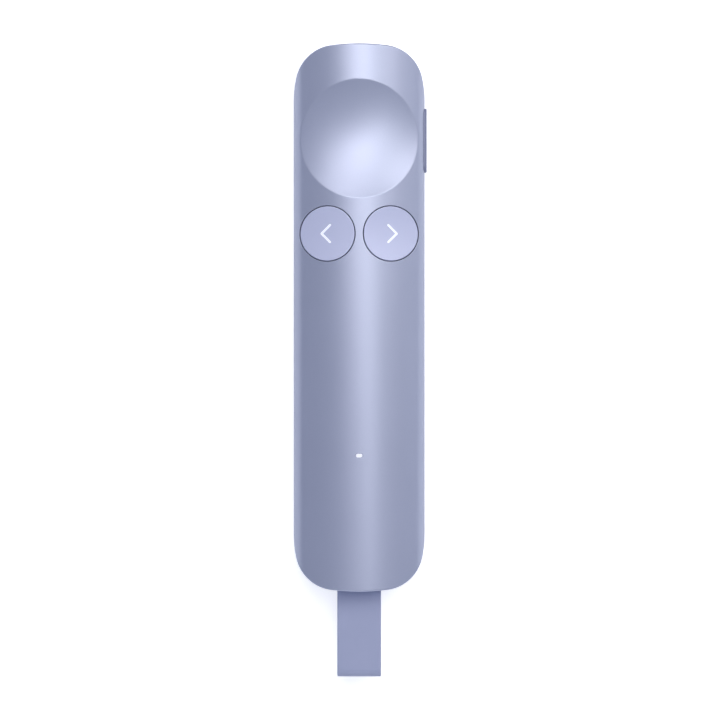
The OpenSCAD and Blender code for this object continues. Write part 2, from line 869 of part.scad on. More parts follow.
module receiver_board() {
  color([0.10, 0.32, 0.22]) block([0, (card_y0 + tongue_y0) / 2], [tongue_w, tongue_y0 - card_y0],
    tongue_floor, tongue_floor + board_t);
}

module receiver_chip() {
  color([0.12, 0.12, 0.13]) block([0, (card_y0 + tongue_y0) / 2], [card_chip, card_chip],
    tongue_floor + board_t, tongue_floor + board_t + chip_h);
}

// Steel cross pin that the strap loops round
module strap_pin() {
  color([0.75, 0.76, 0.78]) along_x(-pin_half, pin_half, pin_y, stow_z) circle(pin_r);
}

// Long round-ended loop of a given radius, seen along the pin
module loop_outline(r) {
  strap_len = pin_y - strap_end_y;
  circle(r);
  translate([-strap_len, 0]) circle(r);
  translate([-strap_len, -r]) square([strap_len, 2 * r]);
}

// Strap: one flat rubber loop that runs round the pin and folds at its far end
module strap() {
  color([0.63, 0.66, 0.78]) along_x(-strap_w / 2, strap_w / 2, pin_y, stow_z) difference() {
    loop_outline(fold_out_r);
    loop_outline(fold_r);
  }
}

upper_shell();
lower_shell();
case_screws();
back_button();
next_button();
back_arrow();
next_arrow();
side_key();
light_pipe();
main_board();
radio_chip();
motion_sensor();
power_chip();
crystal();
chip_antenna();
status_light();
small_parts();
back_switch();
next_switch();
side_switch();
back_plunger();
next_plunger();
side_plunger();
charge_socket();
charge_tongue();
battery_cell();
battery_tape();
battery_plug();
battery_lead_red();
battery_lead_black();
bay_sleeve();
receiver_catch();
receiver_cap();
receiver_plug();
receiver_tongue();
receiver_contacts();
receiver_board();
receiver_chip();
strap_pin();
strap();
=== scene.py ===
import json

import bpy
import numpy as np
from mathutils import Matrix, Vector, geometry


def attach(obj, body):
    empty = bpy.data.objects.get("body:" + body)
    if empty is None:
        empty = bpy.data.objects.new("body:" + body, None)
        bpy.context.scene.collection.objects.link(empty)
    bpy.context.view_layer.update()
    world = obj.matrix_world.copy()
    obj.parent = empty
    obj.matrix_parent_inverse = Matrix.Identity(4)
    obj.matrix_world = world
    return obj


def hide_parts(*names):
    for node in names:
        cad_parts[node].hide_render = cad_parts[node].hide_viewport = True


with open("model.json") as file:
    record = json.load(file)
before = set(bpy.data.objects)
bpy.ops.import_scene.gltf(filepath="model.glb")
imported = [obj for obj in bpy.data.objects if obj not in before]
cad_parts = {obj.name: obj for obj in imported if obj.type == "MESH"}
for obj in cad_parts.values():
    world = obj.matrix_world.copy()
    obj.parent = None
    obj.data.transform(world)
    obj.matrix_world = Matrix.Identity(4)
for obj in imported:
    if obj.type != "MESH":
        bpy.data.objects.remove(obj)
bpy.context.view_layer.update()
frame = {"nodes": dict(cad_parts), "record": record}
nodes = frame["nodes"]

# Housing: two thin shells that meet on a line low on the flanks, pressed into one smooth crowned bar with
# a round thumb hollow near the head. Moulded and painted in a satin lavender metallic; the four screws in
# the underside hold them together. Lengths here are in mm and become metres when a mesh is made.
half_w, half_len, top_z = 15.8, 65.5, 15.5
waist_z = top_z * 0.484
wall = 1.5
split_z, seam = waist_z - 3.1, 0.15
top_ease, belly_ease, rim_ease, dish_ease = 0.4, 0.5, 0.08, 0.22
shoulder_r = 5.0
shoulder_x = half_w - shoulder_r
rise = top_z - waist_z
crown_r = (shoulder_x**2 + rise**2 - shoulder_r**2) / (2 * (rise - shoulder_r))
crown_z = top_z - crown_r
belly_x = half_w - waist_z
crown_turn = np.arctan2(shoulder_x, waist_z - crown_z)
to_shoulder = crown_r * crown_turn
to_waist = to_shoulder + shoulder_r * (np.pi / 2 - crown_turn)
to_flat = to_waist + waist_z * np.pi / 2
half_girth = to_flat + belly_x

end_r, corner_r, flank_r, taper = 65.0, 9.6, 27.8, 13.6
flank_c = np.array([half_w - flank_r, half_len - taper])
end_c = np.array([0.0, half_len - end_r])
between = np.linalg.norm(end_c - flank_c)
run = ((flank_r - corner_r) ** 2 - (end_r - corner_r) ** 2 + between**2) / (2 * between)
off = np.sqrt((flank_r - corner_r) ** 2 - run**2)
ahead = (end_c - flank_c) / between
corner_c = flank_c + run * ahead + off * np.array([-ahead[1], ahead[0]])
end_turn = np.arctan2(corner_c[0] - end_c[0], corner_c[1] - end_c[1])
flank_turn = np.arctan2(corner_c[0] - flank_c[0], corner_c[1] - flank_c[1])
to_corner = end_r * end_turn
to_flank = to_corner + corner_r * (flank_turn - end_turn)
to_side = to_flank + flank_r * (np.pi / 2 - flank_turn)


def section(s, inset=0.0):
    """Point (x, z) and outward normal (x, z) of the cross-section at length s round it from the top
    centre: centre of the arc + (its radius - inset) * (sin turn, cos turn), turn = length / radius"""
    s = np.mod(np.asarray(s, float), 2 * half_girth)
    side = np.where(s > half_girth, -1.0, 1.0)
    d = np.where(s > half_girth, 2 * half_girth - s, s)
    steps = [d < to_shoulder, d < to_waist, d < to_flat]
    turn = np.select(
        steps,
        [d / crown_r, crown_turn + (d - to_shoulder) / shoulder_r, np.pi / 2 + (d - to_waist) / waist_z],
        np.pi,
    )
    radius = np.select(steps, [crown_r, shoulder_r, waist_z], waist_z) - inset
    cx = np.select(steps, [0.0, shoulder_x, belly_x], belly_x - (d - to_flat))
    cz = np.select(steps, [crown_z, waist_z, waist_z], waist_z)
    x, z = cx + radius * np.sin(turn), cz + radius * np.cos(turn)
    return side * x, z, side * np.sin(turn), np.cos(turn)


def end_curve(t, inset=0.0):
    """Point (x, y) and outward normal of the head end's plan curve at length t from its middle: end arc,
    corner arc and flank arc in turn, each centre + (radius - inset) * (sin turn, cos turn)"""
    side, d = np.where(t < 0, -1.0, 1.0), np.abs(t)
    steps = [d < to_corner, d < to_flank]
    turn = np.select(
        steps, [d / end_r, end_turn + (d - to_corner) / corner_r], flank_turn + (d - to_flank) / flank_r
    )
    radius = np.select(steps, [end_r, corner_r], flank_r) - inset
    cx = np.select(steps, [end_c[0], corner_c[0]], flank_c[0])
    cy = np.select(steps, [end_c[1], corner_c[1]], flank_c[1])
    return side * (cx + radius * np.sin(turn)), cy + radius * np.cos(turn), side * np.sin(turn), np.cos(turn)


def end_y(x, inset=0.0):
    """Reach of the plan curve at a distance x from the centre line:
    centre y + sqrt(radius^2 - (x - centre x)^2)"""
    x = np.minimum(np.abs(x), half_w - inset)
    reach = [
        (end_c, end_r - inset, end_turn),
        (corner_c, corner_r - inset, flank_turn),
        (flank_c, flank_r - inset, None),
    ]
    found, done = np.zeros_like(x), np.zeros(x.shape, bool)
    for centre, radius, turn in reach:
        here = ~done & ((x <= centre[0] + radius * np.sin(turn)) if turn is not None else True)
        found = np.where(here, centre[1] + np.sqrt(np.maximum(radius**2 - (x - centre[0]) ** 2, 0)), found)
        done |= here
    return found


def upper_s(x):
    """Length round the section to the point above x: crown radius * asin(x / crown radius), then the
    shoulder's arc"""
    d = np.abs(x)
    on_crown = crown_r * np.arcsin(np.minimum(d / crown_r, 1))
    turn = np.arcsin(np.clip((d - shoulder_x) / shoulder_r, -1, 1))
    on_shoulder = to_shoulder + (turn - crown_turn) * shoulder_r
    return np.sign(x) * np.where(on_crown < to_shoulder, on_crown, on_shoulder)


def lower_s(x):
    """Length round the section to the point below x: the belly arc, then the flat underside"""
    d = np.abs(x)
    turn = np.pi - np.arcsin(np.clip((d - belly_x) / waist_z, 0, 1))
    return np.where(d > belly_x, to_waist + (turn - np.pi / 2) * waist_z, to_flat + belly_x - d)


def unit(v):
    """Vectors divided by their lengths"""
    return v / np.maximum(np.linalg.norm(v, axis=-1, keepdims=True), 1e-12)


def ring(centre, radius, count=96):
    """Closed loop: centre + radius * (cos a, sin a)"""
    a = np.linspace(0, 2 * np.pi, count, endpoint=False)
    return np.stack([centre[0] + radius * np.cos(a), centre[1] + radius * np.sin(a)], 1)


def obround(centre, length, height, count=24):
    """Closed loop of two half circles of radius height / 2, their centres (length - height) apart"""
    a = np.linspace(-np.pi / 2, np.pi / 2, count)
    right = np.stack([(length - height) / 2 + height / 2 * np.cos(a), height / 2 * np.sin(a)], 1)
    sides = 2 + int((length - height) / 0.7)
    top = np.linspace(right[-1], right[-1] * [-1, 1], sides)[1:-1]
    return centre + np.vstack([right, top, -right, -top])


def within(points, loop):
    """Whether each point is inside a closed loop: the parity of the loop's edges that a ray along +x
    crosses"""
    x, y = points[:, :1], points[:, 1:]
    a, b = loop, np.roll(loop, -1, 0)
    rises = (a[:, 1] > y) != (b[:, 1] > y)
    drop = np.where(b[:, 1] == a[:, 1], 1e-12, b[:, 1] - a[:, 1])
    crossing = a[:, 0] + (y - a[:, 1]) * (b[:, 0] - a[:, 0]) / drop
    return (np.sum(rises & (x < crossing), 1) % 2).astype(bool)


def fill(loops, pitch, stretch=1.0):
    """Points and triangles of the flat region in loops[0] and outside the rest: a hexagonal grid at the
    pitch, with the first axis stretched, joined to the loops by a constrained Delaunay triangulation. Grid
    points too near a loop are left out, found for a batch of the loops' points at a time."""
    room, batch, least_area = 0.62 * pitch, 64, 1e-7
    scale = np.array([stretch, 1.0])
    loops = [loop * scale for loop in loops]
    low, high = loops[0].min(0), loops[0].max(0)
    xs = np.arange(low[0], high[0], pitch)
    ys = np.arange(low[1], high[1], pitch * np.sqrt(3) / 2)
    grid = np.stack(np.meshgrid(xs, ys), -1)
    grid[1::2, :, 0] += pitch / 2
    grid = grid.reshape(-1, 2)
    keep = within(grid, loops[0])
    for loop in loops[1:]:
        keep &= ~within(grid, loop)
    edge_points = np.vstack(loops)
    for start in range(0, len(edge_points), batch):
        gap = np.linalg.norm(grid[:, None] - edge_points[None, start : start + batch], axis=2).min(1)
        keep &= gap > room
    points = np.vstack([edge_points, grid[keep]])
    edges, start = [], 0
    for loop in loops:
        index = start + np.arange(len(loop))
        edges += np.stack([index, np.roll(index, -1)], 1).tolist()
        start += len(loop)
    found = geometry.delaunay_2d_cdt([Vector(p) for p in points.tolist()], edges, [], 0, 1e-7)
    source = np.array([came[0] for came in found[3]])
    faces = source[np.array(found[2])]
    middle = points[faces].mean(1)
    keep = within(middle, loops[0])
    for loop in loops[1:]:
        keep &= ~within(middle, loop)
    faces = faces[keep]
    a, b, c = (points[faces[:, i]] for i in range(3))
    area = (b[:, 0] - a[:, 0]) * (c[:, 1] - a[:, 1]) - (b[:, 1] - a[:, 1]) * (c[:, 0] - a[:, 0])
    faces[area < 0] = faces[area < 0][:, ::-1]
    faces = faces[np.abs(area) > least_area]
    return points / scale, faces


def smooth(share):
    """Eased share: 3 t^2 - 2 t^3 of the share t held to 0 .. 1"""
    share = np.clip(share, 0, 1)
    return share * share * (3 - 2 * share)


def slope(spots, faces):
    """Cross product of two sides of each triangle: along its normal, twice its area long"""
    a, b, c = (spots[faces[:, i]] for i in range(3))
    return np.cross(b - a, c - a)


def whole(faces):
    """Whether the three corners of each triangle differ"""
    return (faces != np.roll(faces, -1, 1)).all(1)


def welded(points):
    """Index of one point at each place, and the number of every point's place; a place is 1e-5 mm wide"""
    _, first, place = np.unique(np.round(points, 5), axis=0, return_index=True, return_inverse=True)
    return first, place.ravel()


class Surface:
    """Patches that join into one mesh: each has points, outward normals, faces and, for a wall, the inner
    point behind every point. Lengths are in mm until solid() makes the mesh."""

    def __init__(self):
        self.points, self.normals, self.inner, self.faces, self.count = [], [], [], [], 0

    def add(self, points, normals, faces, inner=None):
        points, normals = points.reshape(-1, 3), normals.reshape(-1, 3)
        self.points.append(points)
        self.normals.append(unit(normals))
        self.inner.append(points if inner is None else inner.reshape(-1, 3))
        self.faces.append(np.asarray(faces) + self.count)
        self.count += len(points)

    def grid(self, points, normals, inner=None, wrap=(False, False), flip=False):
        """Quads over a grid of rows and columns, closed on itself along each axis that wraps, their faces
        turned round if flipped"""
        rows, cols = points.shape[:2]
        index = np.arange(rows * cols).reshape(rows, cols)
        if wrap[0]:
            index = np.concatenate([index, index[:1]], 0)
        if wrap[1]:
            index = np.concatenate([index, index[:, :1]], 1)
        corners = [index[:-1, :-1], index[1:, :-1], index[1:, 1:], index[:-1, 1:]]
        quads = np.stack(corners[::-1] if flip else corners, -1).reshape(-1, 4)
        tris = np.concatenate([quads[:, [0, 1, 2]], quads[:, [0, 2, 3]]])
        self.add(points, normals, tris, inner)

    def solid(self, name, thick=False):
        """Mesh object of the welded patches, in metres, with the patches' own normals at the corners; a thick
        one also has the inner points' surface and a wall along every open edge"""
        points, normals, inner = (np.concatenate(v) for v in (self.points, self.normals, self.inner))
        faces = np.concatenate(self.faces)
        first, place = welded(points)
        faces = faces[whole(place[faces])]
        joined, corner, spots = place[faces], normals[faces], points[first]
        if thick:
            count = len(spots)
            pairs = np.concatenate([joined[:, [0, 1]], joined[:, [1, 2]], joined[:, [2, 0]]])
            key = np.sort(pairs, 1) @ [count, 1]
            _, at, times = np.unique(key, return_index=True, return_counts=True)
            a, b = pairs[at[times == 1]].T
            spots = np.concatenate([spots, inner[first]])
            rim = np.concatenate([np.stack([b, a, a + count], 1), np.stack([b, a + count, b + count], 1)])
            back = joined[:, ::-1] + count
            turned = np.zeros_like(spots)
            np.add.at(turned, back.ravel(), np.repeat(slope(spots, back), 3, 0))
            rim_normals = np.repeat(unit(slope(spots, rim))[:, None], 3, 1)
            joined = np.concatenate([joined, back, rim])
            corner = np.concatenate([corner, unit(turned)[back], rim_normals])
        first, place = welded(spots)
        spots, joined = spots[first], place[joined]
        joined, corner = joined[whole(joined)], corner[whole(joined)]
        mesh = bpy.data.meshes.new(name)
        mesh.from_pydata((spots / 1000).tolist(), [], joined.tolist())
        mesh.polygons.foreach_set("use_smooth", np.ones(len(joined), bool))
        mesh.normals_split_custom_set(unit(corner).reshape(-1, 3).tolist())
        made = bpy.data.objects.new(name, mesh)
        bpy.context.scene.collection.objects.link(made)
        return made


def mixed(first, last, rows):
    """Rows that go evenly from the first row to the last"""
    t = np.linspace(0, 1, rows)[:, None, None]
    return (1 - t) * first + t * last


def eased(start, start_n, crease, finish, finish_n, rows=6, weight=0.75):
    """Points and normals of an easing between two surfaces: rows on the conic from start to finish whose
    control point is the crease, the normals turning evenly"""
    t = np.linspace(0, 1, rows)[:, None, None]
    b0, b1, b2 = (1 - t) ** 2, 2 * weight * t * (1 - t), t**2
    return (b0 * start + b1 * crease + b2 * finish) / (b0 + b1 + b2), unit(mixed(start_n, finish_n, rows))


def skin(s, y, inset=0.0):
    """Point and normal on the body's long surface at length s round its section and at y along it"""
    x, z, nx, nz = section(s, inset)
    y = np.broadcast_to(y, np.shape(x))
    return np.stack([x, y, z], -1), np.stack([nx, np.zeros_like(x), nz], -1)


dish_ahead, dish_beside, dish_depth, dish_lip = 8.5, 1.6, 2.3, 0.1
dish_r = half_w - dish_beside
dish_y = half_len - dish_ahead - dish_r
well_r, button_x, button_ahead = 6.8, 7.6, 2.94
button_y = dish_y - np.sqrt((dish_r + button_ahead + well_r) ** 2 - button_x**2)
hole_r, well_from = well_r - rim_ease, waist_z + 1.5


def clear_wells(points):
    """Inner points moved out of the two upright button wells:
    centre + (x - centre) * max(1, radius / distance)"""
    for side in (-1, 1):
        centre = np.array([side * button_x, button_y])
        reach = points[..., :2] - centre
        gap = np.linalg.norm(reach, axis=-1, keepdims=True)
        inside = (gap < hole_r) & (points[..., 2:] > well_from)
        points[..., :2] = np.where(inside, centre + reach * hole_r / gap, points[..., :2])
    return points


def opening(shell, loop, back, into):
    """Rounded rim of an opening in the long surface: from the widened loop, over the crease, into the wall
    along `into`; the inner points go from behind the widened loop to 1.4 walls down"""
    rows, deep = 5, 1.4 * wall
    edge = skin(*loop.T)[0]
    start, start_n = skin(*back.T)
    points, normals = eased(start, start_n, edge, edge + rim_ease * into, unit(edge - start), rows)
    behind = mixed(clear_wells(start - wall * start_n), edge + deep * into, rows)
    shell.grid(points, normals, behind, wrap=(False, True), flip=True)


def crown_at(x):
    """Height of the crown above x"""
    return section(upper_s(np.asarray(x, float)))[1]


def arc_radius(chord, sag):
    """Radius of the arc that sags so far over half its chord: (chord^2 + sag^2) / (2 sag)"""
    return (chord**2 + sag**2) / (2 * sag)


def saddle(x, y, centre, neck_r, arc_r, tilt=0.0):
    """Height and normal of a hollow that dips along Y and is crowned across X: with axis (x0, z0) below
    the centre, z = z0 + sqrt(rho^2 - (x - x0)^2), rho = neck_r + arc_r - sqrt(arc_r^2 - (y - centre y)^2)"""
    x0, z0 = centre[0] - neck_r * np.sin(tilt), centre[2] - neck_r * np.cos(tilt)
    dip = np.sqrt(arc_r**2 - (y - centre[1]) ** 2)
    rho = neck_r + arc_r - dip
    z = z0 + np.sqrt(rho**2 - (x - x0) ** 2)
    return z, unit(np.stack([x - x0, -rho * (y - centre[1]) / dip, z - z0], -1))


dish_mid = np.array([0.0, dish_y, top_z - dish_depth])
dish_arc = arc_radius(dish_r, dish_depth - dish_lip)
dish_neck = arc_radius(dish_r, dish_mid[2] - crown_at(dish_r) + dish_lip)


def dish_at(plan):
    """Point and normal on the thumb dish at (x, y)"""
    z, normal = saddle(plan[..., 0], plan[..., 1], dish_mid, dish_neck, dish_arc)
    return np.concatenate([plan, z[..., None]], -1), normal


def rim_path(half, z, hole, above):
    """Points from +half to -half at height z, led round the part of a hole that lies above (or below) it"""
    step, clear, aside = 0.8, 0.02, 0.1
    if hole is None:
        t = np.linspace(half, -half, 2 + int(2 * half / step))[1:-1]
        return np.stack([t, np.full(len(t), z)], 1)
    part = hole[(hole[:, 1] > z + clear) if above else (hole[:, 1] < z - clear)]
    middle = part.mean(0)
    turn = np.arctan2(part[:, 1] - z, part[:, 0] - middle[0])
    part = part[np.argsort(turn if above else -turn)]
    lip = abs(part[0, 0] + (aside if above else 0.0))
    out = np.linspace(half, lip, 2 + int((half - lip) / step))[1:]
    side = np.stack([out, np.full(len(out), z)], 1)
    return np.vstack([side, part, side[::-1] * [-1, 1]])


def shell_surface(up, holes, end_holes):
    """One shell: the long surface filled in its flat pattern (length round the section, y) between the end
    creases, an easing along each crease that fades out at the sides, and the upright end walls filled in
    theirs (t, z). Every inner point is one wall behind its own; near a crease it moves over so that the two
    surfaces' inner points meet there."""
    shell = Surface()
    half_count, fade, end_pitch, long_pitch, stretch, rows = 60, 6, 0.9, 1.0, 1.6, 6
    below_crease, before_end, settle = 4, 8, 7.5
    rim_z = split_z + seam if up else split_z
    rim_x = belly_x + np.sqrt(waist_z**2 - (waist_z - rim_z) ** 2)
    samples = np.linspace(0, to_side, 400)
    rim_t = np.interp(rim_x, end_curve(samples)[0], samples)
    if up:
        sliver = np.linspace(rim_t, to_side, 9)
        over = np.linspace(-to_side, to_side, 2 * half_count + 1)
        t = np.concatenate([-sliver, over[1:-1], sliver[::-1]])
        x = end_curve(t)[0]
        low = np.abs(np.arange(len(t)) - (len(t) - 1) / 2) > half_count + 0.5
        s = np.where(low, np.sign(x) * lower_s(x), upper_s(x))
        ease = np.where(low, 0, top_ease * np.clip((to_side - np.abs(t)) / fade, 0, 1))
        crest = upper_s(end_curve(over)[0])
        crest_z, crest_in = section(crest)[1], section(crest, wall)[1]
    else:
        t = np.linspace(-rim_t, rim_t, 2 * half_count + 1)
        x = end_curve(t)[0]
        s = np.where(x < 0, 2 * half_girth - lower_s(x), lower_s(x))
        ease = belly_ease * np.clip((rim_t - np.abs(t)) / fade, 0, 1)
    x, y, nx, ny = end_curve(t)
    crease_z = section(s)[1]
    inner_x, inner_z = section(s, wall)[:2]
    inner_y = end_y(inner_x, wall)
    behind = {}
    for end in (1, -1):
        edge = np.stack([x, end * y, crease_z], 1)
        start, start_n = skin(s, end * (y - ease))
        finish = edge + np.stack([0 * x, 0 * x, -ease if up else ease], 1)
        outward = np.stack([nx, end * ny, 0 * nx], 1)
        behind[end] = np.stack([inner_x, end * inner_y, inner_z], 1)
        points, normals = eased(start, start_n, edge, finish, outward, rows)
        shell.grid(points, normals, mixed(behind[end], behind[end], rows), flip=(end > 0) == up)
        hole = end_holes.get(end)
        crosses = hole is not None and hole[:, 1].min() < rim_z < hole[:, 1].max()
        bottom = rim_path(rim_t, rim_z, hole if crosses else None, up)
        region = [np.vstack([np.stack([t, finish[:, 2]], 1), bottom])]
        if hole is not None and not crosses and up:
            region.append(hole)
        flat, faces = fill(region, end_pitch)
        px, py, qx, qy = end_curve(flat[:, 0])
        ix, iy = end_curve(flat[:, 0], wall)[:2]
        if up:
            top = np.interp(flat[:, 0], over, crest_z)
            lift = np.interp(flat[:, 0], over, crest_z - crest_in)
        else:
            top = np.interp(np.abs(flat[:, 0]), t[half_count:], finish[half_count:, 2])
            lift = np.interp(flat[:, 0], t, crease_z - inner_z)
        share = smooth(1 - np.abs(top - flat[:, 1]) / below_crease)
        deep = np.stack([ix, end * iy, flat[:, 1] - lift * share], 1)
        deep[: len(t)] = behind[end]
        points = np.stack([px, end * py, flat[:, 1]], 1)
        points[: len(t)] = finish
        shell.add(points, np.stack([qx, end * qy, 0 * qx], 1), faces[:, ::-1] if end > 0 else faces, deep)
    reach = y[-1] - ease[-1]
    line = np.linspace(reach, -reach, int(2 * reach) + 1)[1:-1]
    first, last = s[0], s[-1]
    loop = np.vstack(
        [
            np.stack([s, y - ease], 1),
            np.stack([np.full(len(line), last), line], 1),
            np.stack([s, ease - y], 1)[::-1],
            np.stack([np.full(len(line), first), line], 1)[::-1],
        ]
    )
    flat, faces = fill([loop] + [hole[1] for hole in holes], long_pitch, stretch)
    points, normals = skin(flat[:, 0], flat[:, 1])
    ix, iz = section(flat[:, 0], wall)[:2]
    end_at = end_y(points[:, 0])
    shift = smooth((np.abs(flat[:, 1]) - end_at + before_end) / settle) * (end_at - end_y(ix, wall))
    deep = np.stack([ix, flat[:, 1] - np.sign(flat[:, 1]) * shift, iz], 1)
    count = len(t)
    deep[:count] = behind[1]
    deep[count + len(line) : 2 * count + len(line)] = behind[-1][::-1]
    shell.add(points, normals, faces, clear_wells(deep))
    for edge_loop, back_loop, into in holes:
        if into is not None:
            opening(shell, edge_loop, back_loop, np.array(into, float))
    return shell


def on_top(plan):
    """Flat-pattern place of the points of the upper surface above (x, y)"""
    return np.stack([upper_s(plan[:, 0]), plan[:, 1]], 1)


key_c, key_len, key_h, key_gap = np.array([dish_y, waist_z]), 15.5, 3.2, 0.15


def key_loop(grow):
    """Flat-pattern loop of the side key's opening, its height turned into length round the section"""
    loop = obround(key_c, key_len + 2 * grow, key_h + 2 * grow)
    rise_z = loop[:, 1] - waist_z
    round_up = to_waist - shoulder_r * np.arcsin(np.clip(rise_z, 0, None) / shoulder_r)
    round_down = to_waist + waist_z * np.arcsin(np.clip(-rise_z, 0, None) / waist_z)
    return np.stack([np.where(rise_z > 0, round_up, round_down), loop[:, 0]], 1)


def round_rect(centre, w, h, r, count=9):
    """Closed loop of a rectangle with round corners, its sides split"""
    a = np.linspace(0, np.pi / 2, count)
    quarter = np.stack([w / 2 - r + r * np.cos(a), h / 2 - r + r * np.sin(a)], 1)
    top = np.linspace(quarter[-1], quarter[-1] * [-1, 1], 12)[1:-1]
    side = np.linspace(quarter[0] * [1, -1], quarter[0], 6)[1:-1]
    half = np.vstack([side, quarter, top, (quarter * [-1, 1])[::-1]])
    return centre + np.vstack([half, -half])


# Openings in the long surface: edge loop, the widened loop where the surface stops, and the way the wall
# goes. The dish brings a rim of its own.
down = (0, 0, -1)
top_holes = [(None, on_top(ring((0, dish_y), dish_r + dish_ease, 240)), None)]
for side in (-1, 1):
    well_c = (side * button_x, button_y)
    top_holes.append((on_top(ring(well_c, hole_r, 128)), on_top(ring(well_c, well_r, 128)), down))
light_c, light_w, light_l, light_ease = np.array([0.0, 32.5 - half_len]), 1.66, 1.02, 0.2
light_loops = [on_top(obround(light_c, light_w + grow, light_l + grow, 10)) for grow in (0, light_ease)]
top_holes.append((*light_loops, down))
top_holes.append((key_loop(key_gap), key_loop(key_gap + rim_ease), (-1, 0, 0)))


def on_end(loop):
    """Flat-pattern place of the points (x, z) of an end wall: end radius * asin(x / end radius), z"""
    return np.stack([end_r * np.arcsin(loop[:, 0] / end_r), loop[:, 1]], 1)


# Openings in the end walls: the charge socket's in the head end, the receiver's bay in the tail end
board_drop, board_t, socket_w, socket_h = 0.6, 1.0, 9.14, 3.46
socket_c = np.array([0.0, waist_z - board_drop + board_t / 2])
stow_z, bay_w, bay_h, bay_r = 7.6, 15.1, 8.1, 2.55
socket_hole = on_end(obround(socket_c, socket_w, socket_h, 16))
bay_hole = on_end(round_rect(np.array([0.0, stow_z]), bay_w, bay_h, bay_r))
upper = shell_surface(True, top_holes, {1: socket_hole, -1: bay_hole})

# Thumb dish: its eased rim, then the hollow as rings about its middle
around, rim_rows = ring((0, 0), 1.0, 240), 6
rim_start, rim_start_n = skin(*on_top(around * (dish_r + dish_ease) + [0, dish_y]).T)
rim_edge = skin(*on_top(around * dish_r + [0, dish_y]).T)[0]
rim_finish, rim_finish_n = dish_at(around * (dish_r - dish_ease) + [0, dish_y])
rim_p, rim_n = eased(rim_start, rim_start_n, rim_edge, rim_finish, rim_finish_n, rim_rows, weight=1.0)
rim_inner = mixed(rim_start - wall * rim_start_n, rim_finish - [0, 0, wall], rim_rows)
upper.grid(rim_p, rim_n, rim_inner, wrap=(False, True), flip=True)
radii = np.linspace(dish_r - dish_ease, 0, 25)
hollow, hollow_n = dish_at(around[None] * radii[:, None, None] + [0, dish_y])
hollow[0] = rim_finish
upper.grid(hollow, hollow_n, hollow - [0, 0, wall], wrap=(False, True), flip=True)
upper_piece = upper.solid("upper_housing", thick=True)
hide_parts("upper_shell")
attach(upper_piece, "body")

# Screw holes in the flat underside, where the length round the section is half the girth less x
screw_x, screw_tail_y, screw_head_y, screw_hole_r, screw_ease = 6.2, -40.0, 54.0, 1.9, 0.2
screw_holes = []
for x in (-screw_x, screw_x):
    for y in (screw_tail_y, screw_head_y):
        loops = [ring((0, 0), screw_hole_r + grow, 40) + [half_girth - x, y] for grow in (0, screw_ease)]
        screw_holes.append((*loops, (0, 0, 1)))
lower = shell_surface(False, screw_holes, {-1: bay_hole})
lower_piece = lower.solid("lower_housing", thick=True)
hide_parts("lower_shell")
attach(lower_piece, "body")


class Wire:
    """A shader socket that does sums: + - and * between wires and numbers add Math nodes, and node() adds
    any other node from its type, its inputs and its settings"""

    tree = None

    def __init__(self, socket):
        self.socket = socket

    @classmethod
    def node(cls, kind, inputs=None, out=0, **settings):
        made = cls.tree.nodes.new(kind)
        for key, value in settings.items():
            setattr(made, key, value)
        for key, value in (inputs or {}).items():
            cls.join(value, made.inputs[key])
        return cls(made.outputs[out])

    @classmethod
    def join(cls, value, socket):
        if isinstance(value, cls):
            cls.tree.links.new(value.socket, socket)
        else:
            socket.default_value = value

    def sum(self, operation, other, swapped=False):
        pair = (other, self) if swapped else (self, other)
        return Wire.node("ShaderNodeMath", dict(enumerate(pair)), operation=operation)

    def __add__(self, other):
        return self.sum("ADD", other)

    __radd__ = __add__

    def __mul__(self, other):
        return self.sum("MULTIPLY", other)

    __rmul__ = __mul__

    def __sub__(self, other):
        return self.sum("SUBTRACT", other)

    def __rsub__(self, other):
        return self.sum("SUBTRACT", other, True)

    def between(self, low, high):
        """0 below low, 1 above high, smooth between"""
        return Wire.node(
            "ShaderNodeMapRange", {0: self, 1: low, 2: high}, interpolation_type="SMOOTHSTEP", clamp=True
        )


def noise(place, size, detail=2.0, rough=0.5):
    """Fractal noise from 0 to 1 whose features are about `size` metres across"""
    return Wire.node(
        "ShaderNodeTexNoise", {"Vector": place, "Scale": 1 / size, "Detail": detail, "Roughness": rough}
    )


def blend_colours(share, first, second):
    """Colour that goes from the first to the second as the share goes from 0 to 1"""
    colours = {0: share, 6: (*first, 1), 7: (*second, 1)}
    return Wire.node("ShaderNodeMix", colours, out=2, data_type="RGBA", clamp_factor=True)


# The frame brings a plain material for each slot. A new name for those leaves the slots' names to the
# materials made here.
for imported in bpy.data.materials:
    imported.name = "plain_" + imported.name


def material(name, build, **constants):
    """New material: build(place) returns the varying inputs by socket name, with place the Object
    coordinates, and height (metres) for a bump; constants go straight onto the shader's sockets"""
    made = bpy.data.materials.new(name)
    made.use_nodes = True
    Wire.tree = made.node_tree
    shader = made.node_tree.nodes["Principled BSDF"]
    for key, value in constants.items():
        shader.inputs[key.replace("_", " ")].default_value = value
    varying = build(Wire.node("ShaderNodeTexCoord", out="Object"))
    height = varying.pop("height", None)
    if height is not None:
        varying["Normal"] = Wire.node("ShaderNodeBump", {"Height": height, "Distance": 1.0, "Strength": 1.0})
    for key, value in varying.items():
        Wire.join(value, shader.inputs[key])
    return made


def dress(piece, look):
    """Give a piece this material alone"""
    piece.data.materials.clear()
    piece.data.materials.append(look)


